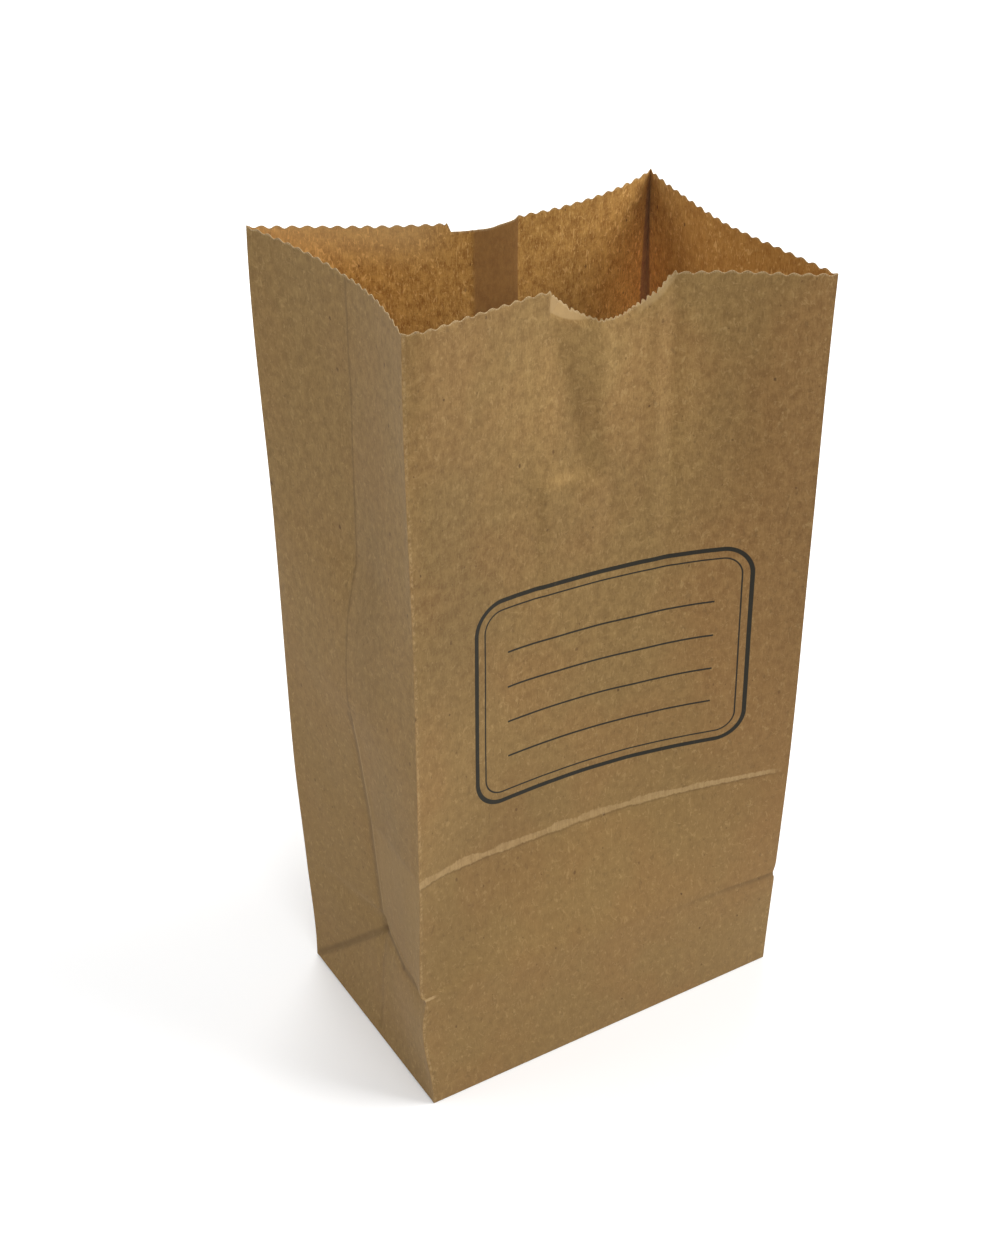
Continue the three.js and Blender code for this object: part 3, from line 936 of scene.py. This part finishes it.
    def paint_light_patches(self, colour, u, s, patches):
        """The colour, made lighter or darker by soft patches of painted light and shade."""
        total = 1.0
        for centre, reach, amount in patches:
            total = total + self.patch(u, s, centre, reach) * amount
        return self.node("ShaderNodeVectorMath", {0: colour, "Scale": total}, operation="SCALE").outputs[0]


def fibres(shader, vector, offset):
    """Cloudy formation of the pulp, and its fibres, mostly up the sheet."""
    cloud = shader.noise(vector, (0.36, 0.3), 3.0, 0.62, offset)
    upright = shader.noise(vector, (1.9, 0.5), 2.0, 0.6, offset + 31, 0.03, 0.3)
    slanted = shader.noise(vector, (1.5, 0.7), 2.0, 0.6, offset + 57, 0.8, 0.3)
    level = shader.noise(vector, (0.7, 1.5), 2.0, 0.55, offset + 83, -0.1, 0.3)
    fine = shader.noise(vector, (3.4, 2.8), 2.0, 0.6, offset + 111)
    return cloud * 0.38 + upright * 0.24 + slanted * 0.13 + level * 0.11 + fine * 0.14, fine


# Printed label: a plain frame with blank write-on rules, in the sheet's millimetres
LABEL_CENTRE = (66.5, 129.5)
LABEL_HALF = (44.0, 33.0)
LABEL_ROUND = 9.0
LABEL_LINE = 1.4
LABEL_INNER_GAP = 3.0
LABEL_INNER_LINE = 0.5
RULE_HALF_LENGTH = 33.0
RULE_GAP = 11.5
RULE_DROP = 1.5
RULE_LINE = 0.6
RULE_COUNT = 4
INK_SOFT = 0.16
THIN_INK_SOFT = 0.12


def label_ink(shader, u, s):
    """Where the label's frame and rules are inked."""
    across = abs(u - LABEL_CENTRE[0])
    out_x = across - (LABEL_HALF[0] - LABEL_ROUND)
    out_y = abs(s - LABEL_CENTRE[1]) - (LABEL_HALF[1] - LABEL_ROUND)
    away = shader.length(shader.larger(out_x, 0.0), shader.larger(out_y, 0.0))
    edge = away + shader.smaller(shader.larger(out_x, out_y), 0.0) - LABEL_ROUND
    thick = edge.near(0.0, (LABEL_LINE - INK_SOFT) / 2, INK_SOFT)
    thin = edge.near(-LABEL_INNER_GAP, (LABEL_INNER_LINE - THIN_INK_SOFT) / 2, THIN_INK_SOFT)
    ink = shader.larger(thick, thin)
    length = across.fade(RULE_HALF_LENGTH, RULE_HALF_LENGTH + 0.2)
    for k in range(RULE_COUNT):
        level = LABEL_CENTRE[1] + (k - (RULE_COUNT - 1) / 2) * RULE_GAP - RULE_DROP
        rule = s.near(level, (RULE_LINE - THIN_INK_SOFT) / 2, THIN_INK_SOFT)
        ink = shader.larger(ink, rule * length)
    return ink


def rim_wear(shader, reach):
    """Fraying along the cut: strongest at the cut itself, and gone at its reach."""
    return shader.below_cut().fade(0.0, reach)


# How matt the paper is, and how deep its grain stands, in millimetres
PAPER_SPECULAR = 0.16
PAPER_SHEEN = 0.04
PAPER_SHEEN_ROUGHNESS = 0.6
GRAIN_DEPTH = 0.12
CUT_GRAIN_DEPTH = 0.05


def finish_paper(shader, colour, relief, roughness, depth, strength):
    surface = shader.surface
    shader.put(surface.inputs["Base Color"], colour)
    shader.put(surface.inputs["Roughness"], roughness)
    surface.inputs["Specular IOR Level"].default_value = PAPER_SPECULAR
    surface.inputs["Sheen Weight"].default_value = PAPER_SHEEN
    surface.inputs["Sheen Roughness"].default_value = PAPER_SHEEN_ROUGHNESS
    inputs = {"Height": relief, "Strength": strength, "Distance": depth * MM}
    shader.put(surface.inputs["Normal"], shader.node("ShaderNodeBump", inputs).outputs[0])
    return shader.material


# The dark fibre colour also paints shade along creases; the pale fibre colour and the wear colour also paint
# highlights
OUT_DARK = linear(103, 76, 41)
OUT_LIGHT = linear(149, 120, 73)
OUT_RED = linear(138, 92, 50)
OUT_YELLOW = linear(130, 105, 61)
OUT_PALE_FIBRE_AND_HIGHLIGHT = linear(162, 133, 86)
OUT_WEAR_AND_HIGHLIGHT = linear(168, 140, 97)
OUT_TORN = linear(186, 164, 128)
OUT_FIBRE_AND_SHADE = linear(84, 62, 36)
OUT_SPECK = linear(70, 44, 24)
INK = linear(38, 35, 26)

# Painted light and shade on the front and the sides: a lighter top, darker lower parts
# and right edge, a darker flank under the notch with lighter strips beside it and a
# painted highlight at its foot, and darker patches on both sides. Centre and reach of
# each patch, and how much lighter it is, or darker below 0
OUTER_PAINTED_LIGHT = (
    ((14, 165), (34, 58), -0.2),
    ((12, 206), (22, 38), -0.07),
    ((126, 150), (22, 95), -0.05),
    ((55, 216), (10, 26), -0.12),
    ((8, 58), (30, 36), -0.11),
    ((32, 84), (36, 42), -0.14),
    ((66, 226), (52, 42), 0.19),
    ((44, 214), (20, 36), 0.04),
    ((50, 194.5), (10, 3.5), 0.22),
    ((87, 205), (12, 44), 0.12),
    ((BACK_LEFT + 52, 158), (16, 66), -0.1),
    ((BACK_LEFT + 60, 72), (26, 42), -0.14),
    ((BACK_RIGHT - 52, 158), (16, 66), -0.06),
)
REDDER_PATCH = ((126, 150), (48, 150))

# Painted shade along the creases of the sides as darker lines, and a painted highlight
# beside the centre crease as a paler one: both ends, in places from the back fold and
# levels, then half width, strength and colour
SIDE_PAINTED_CREASE_LINES = (
    ((1, 1), (HALF, CREASE_POINT), 0.5, 0.4, OUT_FIBRE_AND_SHADE),
    ((HALF, CREASE_POINT), (57.4, 35.2), 0.4, 0.5, OUT_FIBRE_AND_SHADE),
    ((57.4, 35.2), (DEPTH, KINK_LEVEL), 0.4, 0.4, OUT_FIBRE_AND_SHADE),
    ((HALF - 1.0, CREASE_POINT), (HALF - 0.7, 116), 0.55, 0.36, OUT_FIBRE_AND_SHADE),
    ((HALF, 112), (HALF, HEIGHT), 0.12, 0.4, OUT_FIBRE_AND_SHADE),
    ((HALF + 0.5, CREASE_POINT), (HALF + 4, 3), 0.3, 0.2, OUT_FIBRE_AND_SHADE),
    ((HALF + 0.9, CREASE_POINT + 3), (HALF + 0.8, 114), 0.2, 0.4, OUT_PALE_FIBRE_AND_HIGHLIGHT),
    ((HALF - 2.5, 120), (HALF + 3.5, 119), 0.15, 0.25, OUT_FIBRE_AND_SHADE),
)
LEVEL_CREASE = ((HALF + 2, 79.0), (DEPTH, 85.0))


def side_crease_shading(shader, colour, u, s, wander):
    """Painted shade and a painted highlight along the creases of both sides, and painted light on the facet
    below the upper one.
    """
    across = shader.larger(u - BACK_LEFT, BACK_RIGHT - u)
    on_side = across.smooth(0.4, 1.2) * across.fade(DEPTH - 0.3, DEPTH + 0.3)
    for start, end, half, strength, tone in SIDE_PAINTED_CREASE_LINES:
        away = shader.from_line(across, s, start, end) + wander
        line = away.fade(half, 3 * half + 0.3)
        colour = shader.blend(colour, tone, line * on_side * strength)
    (start_u, start_s), (end_u, end_s) = LEVEL_CREASE
    slope = (end_s - start_s) / (end_u - start_u)
    below = start_s - slope * start_u + across * slope - s
    # Painted light on the facet below the upper crease
    lit_facet = below.smooth(-2.0, 4.0) * below.fade(8.0, 40.0)
    lit_facet = lit_facet * across.smooth(HALF + 0.5, HALF + 7.0) * on_side
    return shader.blend(colour, OUT_LIGHT, lit_facet * 0.28)


def crease_wear_and_shadow(shader, u, s, wander):
    """Ragged wear along the upper level crease of the front, widest on its left, and a
    painted shadow under it."""
    along_u = shader.node("ShaderNodeCombineXYZ", {"X": u}).outputs[0]
    wide = shader.noise(along_u, (0.09, 1), 1.0, 0.5, 67.0)
    small = shader.noise(along_u, (0.8, 1), 3.0, 0.7, 93.0)
    level = DEPTH + 0.2 + u.fade(0.0, LIFT_RUN) * CREASE_LIFT + (wide - 0.5) + (small - 0.5) * 0.5
    left_part = u.fade(66.0, 116.0)
    half = 0.5 + wide.smooth(0.3, 0.7) * left_part * 0.7
    in_front = u.fade(WIDTH - 10, WIDTH - 1)
    broken = 0.65 + small.smooth(0.32, 0.6) * 0.35
    strength = 0.92 - left_part * 0.3
    # Painted shadow just under the crease
    under = s.near(level - half - 0.55, 0.1, 0.5)
    rubbed = (s + wander * 1.3).near(level, half, 0.6)
    return rubbed * in_front * broken * strength, under * in_front


def low_crease_shade(shader, u, s, wander):
    """Painted shade along the lower crease of the front, sharp above and soft below, strongest at its right
    end.
    """
    below = HALF - 2.2 - (s + wander * 0.5)
    shade = below.smooth(-0.5, 0.2) * below.fade(0.2, 2.8)
    strength = 0.18 + u.smooth(96.0, 126.0) * 0.3
    in_front = u.fade(WIDTH - 0.4, WIDTH + 0.4)
    return shade * u.smooth(78.0, 100.0) * strength * in_front


def lip_wear_and_highlight(shader, u):
    """Paler strips under the notch: a painted highlight with some rubbing on its turned lip on the left, and
    rubbed wear along its right edge.
    """
    below = shader.below_cut()
    reach = shader.larger(0.4, (60.0 - u) * 0.42)
    left = u.smooth(46.6, 47.4) * u.fade(54.0, 63.5) * below.fade(reach, reach + 0.6)
    right = u.smooth(72.0, 78.0) * u.fade(84.2, 86.0) * below.fade(1.2, 2.6)
    return shader.larger(left * 0.65, right * 0.6)


def outer_kraft():
    shader = Shader("kraft_outside")
    vector, u, s = shader.flat()
    grain, fine = fibres(shader, vector, 0.0)
    torn = shader.ragged(vector, 0.22, 0.5, 5.0)
    on_side = u.smooth(WIDTH - 1, WIDTH + 1)
    contrast = (0.4 + s.smooth(60.0, 190.0) * 0.42) * (1.0 - on_side * 0.3)
    share = (grain.smooth(0.32, 0.68) - 0.5) * contrast + 0.5
    patches = shader.noise(vector, (0.035, 0.028), 2.0, 0.5, 9.0)
    yellow = 0.45 + patches.smooth(0.34, 0.62) * 0.5
    yellow = shader.math("SUBTRACT", yellow, shader.patch(u, s, *REDDER_PATCH) * 1.3, clamp=True)
    colour = shader.layered(
        shader.blend(OUT_DARK, OUT_LIGHT, share),
        (shader.blend(OUT_RED, OUT_YELLOW, yellow), 0.26 - on_side * 0.15),
        (OUT_PALE_FIBRE_AND_HIGHLIGHT, shader.hairs(vector, (0.5, 0.2), 0.035, 15.0) * 0.4),
        (OUT_PALE_FIBRE_AND_HIGHLIGHT, shader.hairs(vector, (0.4, 0.3), 0.03, 35.0, 0.9) * 0.34),
        (OUT_FIBRE_AND_SHADE, shader.hairs(vector, (0.6, 0.22), 0.03, 55.0) * 0.3),
        (OUT_SPECK, shader.specks(torn, 11.0, 1.0, 0.4, 3.0) * 0.75),
        (OUT_SPECK, shader.specks(torn, 4.3, 0.5, 0.36, 8.0) * 0.55),
        (OUT_PALE_FIBRE_AND_HIGHLIGHT, shader.specks(torn, 5.0, 0.8, 0.4, 14.0) * 0.5),
    )
    # Painted light and shade patches over the front and the sides
    colour = shader.paint_light_patches(colour, u, s, OUTER_PAINTED_LIGHT)

    ragged = shader.noise(vector, (0.9, 0.9), 3.0, 0.6, 41.0)
    wander = (ragged - 0.5) * 0.9
    worn, under = crease_wear_and_shadow(shader, u, s, wander)
    kink = (s + wander).near(KINK_LEVEL + 0.4, 0.3, 0.5) * u.fade(2.5, 4.5)
    fold = u.near(0.6, 0.1, 0.6) * ragged.smooth(0.42, 0.66)
    frayed = rim_wear(shader, 1.0) * fine.smooth(0.34, 0.6)
    colour = shader.layered(
        side_crease_shading(shader, colour, u, s, wander),
        # Painted shadow under the upper crease
        (OUT_FIBRE_AND_SHADE, under * 0.34),
        (OUT_WEAR_AND_HIGHLIGHT, worn * (0.7 + grain.smooth(0.4, 0.6) * 0.3)),
        # Painted shade along the lower crease
        (OUT_FIBRE_AND_SHADE, low_crease_shade(shader, u, s, wander)),
        (OUT_WEAR_AND_HIGHLIGHT, kink * 0.8),
        (OUT_WEAR_AND_HIGHLIGHT, fold * 0.5),
        # Painted highlight on the notch's turned lip, and wear along its right edge
        (OUT_WEAR_AND_HIGHLIGHT, lip_wear_and_highlight(shader, u)),
        (OUT_TORN, frayed * 0.6),
        (INK, label_ink(shader, u, s) * (1.0 - grain.smooth(0.55, 0.75) * 0.25)),
    )
    return finish_paper(shader, colour, grain + worn * 0.4, 0.72 + fine * 0.2, GRAIN_DEPTH, 0.6)


IN_DARK = linear(126, 83, 32)
IN_LIGHT = linear(184, 141, 74)
IN_FLECK = linear(214, 170, 104)
IN_SEAM = linear(122, 86, 46)
# Painted shade for the back right inner corner, painted warm bounce light for the front and right walls, and
# painted light at the top left
IN_CORNER_SHADE = linear(106, 74, 54)
IN_BOUNCE_WARMTH = linear(172, 116, 48)
IN_LIT_PALE = linear(196, 166, 118)

# Painted light on the inside: paler left of the seam and beside the back right corner
INNER_PAINTED_LIGHT = (
    ((322, 245), (60, 60), 0.3),
    ((BACK_RIGHT + 6, 208), (30, 48), 1.1),
    ((BACK_RIGHT - 30, 222), (46, 50), 0.3),
)


def inner_kraft():
    shader = Shader("kraft_inside")
    vector, u, s = shader.flat()
    grain, fine = fibres(shader, vector, 200.0)
    share = grain.smooth(0.3, 0.68)
    torn = shader.ragged(vector, 0.22, 0.5, 205.0)
    # Painted light along the top of the inside, left of the seam
    lit_top_left = u.smooth(SEAM_END, SEAM_END + 20) * s.smooth(HEIGHT - 16, HEIGHT - 1)
    # Painted warm bounce light on the inside of the front and right walls
    painted_bounce = u.fade(BACK_RIGHT - 30, BACK_RIGHT)
    fleck = shader.noise(vector, (1.9, 0.55), 2.0, 0.6, 240.0, 0.0, 0.6)
    seam = u.smooth(SEAM_START - 0.2, SEAM_START + 0.2)
    seam = seam * u.fade(SEAM_END - 1.2, SEAM_END + 0.4)
    # Painted shade down the back right inner corner, widening downwards
    down = HEIGHT - s
    half = shader.smaller(0.2 + down * 0.06, 2.3)
    corner_shade = u.near(BACK_RIGHT + 0.5, half, 1.1) * down.smooth(0.0, 8.0)
    colour = shader.layered(
        shader.blend(IN_DARK, IN_LIGHT, share),
        (IN_LIT_PALE, lit_top_left * 0.36),
        (IN_BOUNCE_WARMTH, painted_bounce * 0.4),
        (IN_FLECK, fleck.smooth(0.6, 0.74) * 0.55),
        (IN_FLECK, shader.hairs(vector, (0.5, 0.16), 0.04, 215.0) * 0.6),
        (OUT_SPECK, shader.specks(torn, 8.0, 0.9, 0.4, 23.0) * 0.7),
        (shader.blend(IN_SEAM, IN_LIGHT, share * 0.16), seam * 0.9),
        (IN_CORNER_SHADE, corner_shade * 0.7),
    )
    # Painted light patches of the inside
    colour = shader.paint_light_patches(colour, u, s, INNER_PAINTED_LIGHT)
    frayed = rim_wear(shader, 0.9) * fine.smooth(0.3, 0.62)
    colour = shader.blend(colour, OUT_TORN, frayed * 0.6)
    roughness = 0.7 + fine * 0.2 - seam * 0.08
    return finish_paper(shader, colour, grain * (1.0 - seam * 0.5), roughness, GRAIN_DEPTH, 0.5)


def cut_kraft():
    shader = Shader("kraft_cut_edge")
    vector, _, _ = shader.flat()
    grain = shader.noise(vector, (3.0, 3.0), 2.0, 0.6, 400.0)
    colour = shader.blend(OUT_PALE_FIBRE_AND_HIGHLIGHT, OUT_TORN, grain.smooth(0.35, 0.65))
    return finish_paper(shader, colour, grain, 0.9, CUT_GRAIN_DEPTH, 0.4)


# Camera, from the photograph's own perspective
CAMERA_AZIMUTH = math.radians(33.2034)
CAMERA_ELEVATION = math.radians(33.2179)
CAMERA_ROLL = math.radians(1.6210)
CAMERA_PLACE = (-0.30280, -0.43413, 0.47489)
CAMERA_LENS = 61.96
CAMERA_SENSOR = 36
CAMERA_CLIP = 0.01

# Studio, in metres: the floor, the even surroundings and the lights, each with its
# place, target, size, power and colour
FLOOR_REACH = 4.0
FLOOR_LEVEL = -0.0002
FLOOR_TONE = 0.93
FLOOR_ROUGHNESS = 0.9
SURROUNDINGS = 0.2
WHITE = (1, 1, 1)
LIGHTS = (
    ("key", (0.9, -0.6, 0.95), (0, 0, 0.17), (0.9, 0.9), 18.0, WHITE),
    ("front_left", (-0.35, -0.5, 1.15), (0, 0, 0.2), (0.7, 0.7), 6.5, WHITE),
    ("side", (-1.3, 0.5, 0.7), (0, 0, 0.12), (0.7, 0.7), 5.5, (0.93, 0.97, 1.0)),
    ("backdrop", (0.4, 1.3, 1.3), (0.4, 1.2, 0), (1.8, 1.0), 30.0, WHITE),
)


def placed(name, data):
    made = bpy.data.objects.new(name, data)
    bpy.context.scene.collection.objects.link(made)
    return made


def turned(axes, place):
    """Placing matrix from its three axes and its place."""
    return Matrix.Translation(place) @ Matrix(np.column_stack(axes).tolist()).to_4x4()


def make_camera():
    data = bpy.data.cameras.new("camera")
    data.lens = CAMERA_LENS
    data.sensor_width = CAMERA_SENSOR
    data.clip_start = CAMERA_CLIP
    camera = placed("camera", data)
    look = np.array([
        math.sin(CAMERA_AZIMUTH) * math.cos(CAMERA_ELEVATION),
        math.cos(CAMERA_AZIMUTH) * math.cos(CAMERA_ELEVATION),
        -math.sin(CAMERA_ELEVATION),
    ])
    level = unit(np.cross(look, [0, 0, 1]))
    upright = np.cross(level, look)
    across = math.cos(CAMERA_ROLL) * level + math.sin(CAMERA_ROLL) * upright
    up = math.cos(CAMERA_ROLL) * upright - math.sin(CAMERA_ROLL) * level
    camera.matrix_world = turned([across, up, -look], CAMERA_PLACE)
    bpy.context.scene.camera = camera


def make_light(name, place, target, size, power, colour):
    data = bpy.data.lights.new(name, "AREA")
    data.shape = "RECTANGLE"
    data.size, data.size_y = size
    data.energy = power
    data.color = colour
    back = unit(np.array(place) - np.array(target))
    side = unit(np.cross([0.001, 0, 1], back))
    placed(name, data).matrix_world = turned([side, np.cross(back, side), back], place)


def make_floor():
    mesh = bpy.data.meshes.new("floor")
    ends = ((-1, -1), (1, -1), (1, 1), (-1, 1))
    corners = [(x * FLOOR_REACH, y * FLOOR_REACH, FLOOR_LEVEL) for x, y in ends]
    mesh.from_pydata(corners, [], [(0, 1, 2, 3)])
    material = bpy.data.materials.new("studio_floor")
    material.use_nodes = True
    surface = material.node_tree.nodes["Principled BSDF"]
    surface.inputs["Base Color"].default_value = (FLOOR_TONE, FLOOR_TONE, FLOOR_TONE, 1)
    surface.inputs["Roughness"].default_value = FLOOR_ROUGHNESS
    surface.inputs["Specular IOR Level"].default_value = 0.0
    mesh.materials.append(material)
    placed("floor", mesh)


def make_studio():
    """Pale floor, even surroundings and large soft lights."""
    make_floor()
    world = bpy.data.worlds.new("studio")
    world.use_nodes = True
    background = world.node_tree.nodes["Background"]
    background.inputs["Color"].default_value = (*WHITE, 1)
    background.inputs["Strength"].default_value = SURROUNDINGS
    bpy.context.scene.world = world
    for light in LIGHTS:
        make_light(*light)
    bpy.context.scene.view_settings.view_transform = "Standard"


make_camera()
make_studio()
paper_bag = make_bag()
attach(paper_bag, "root")
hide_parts("bag")
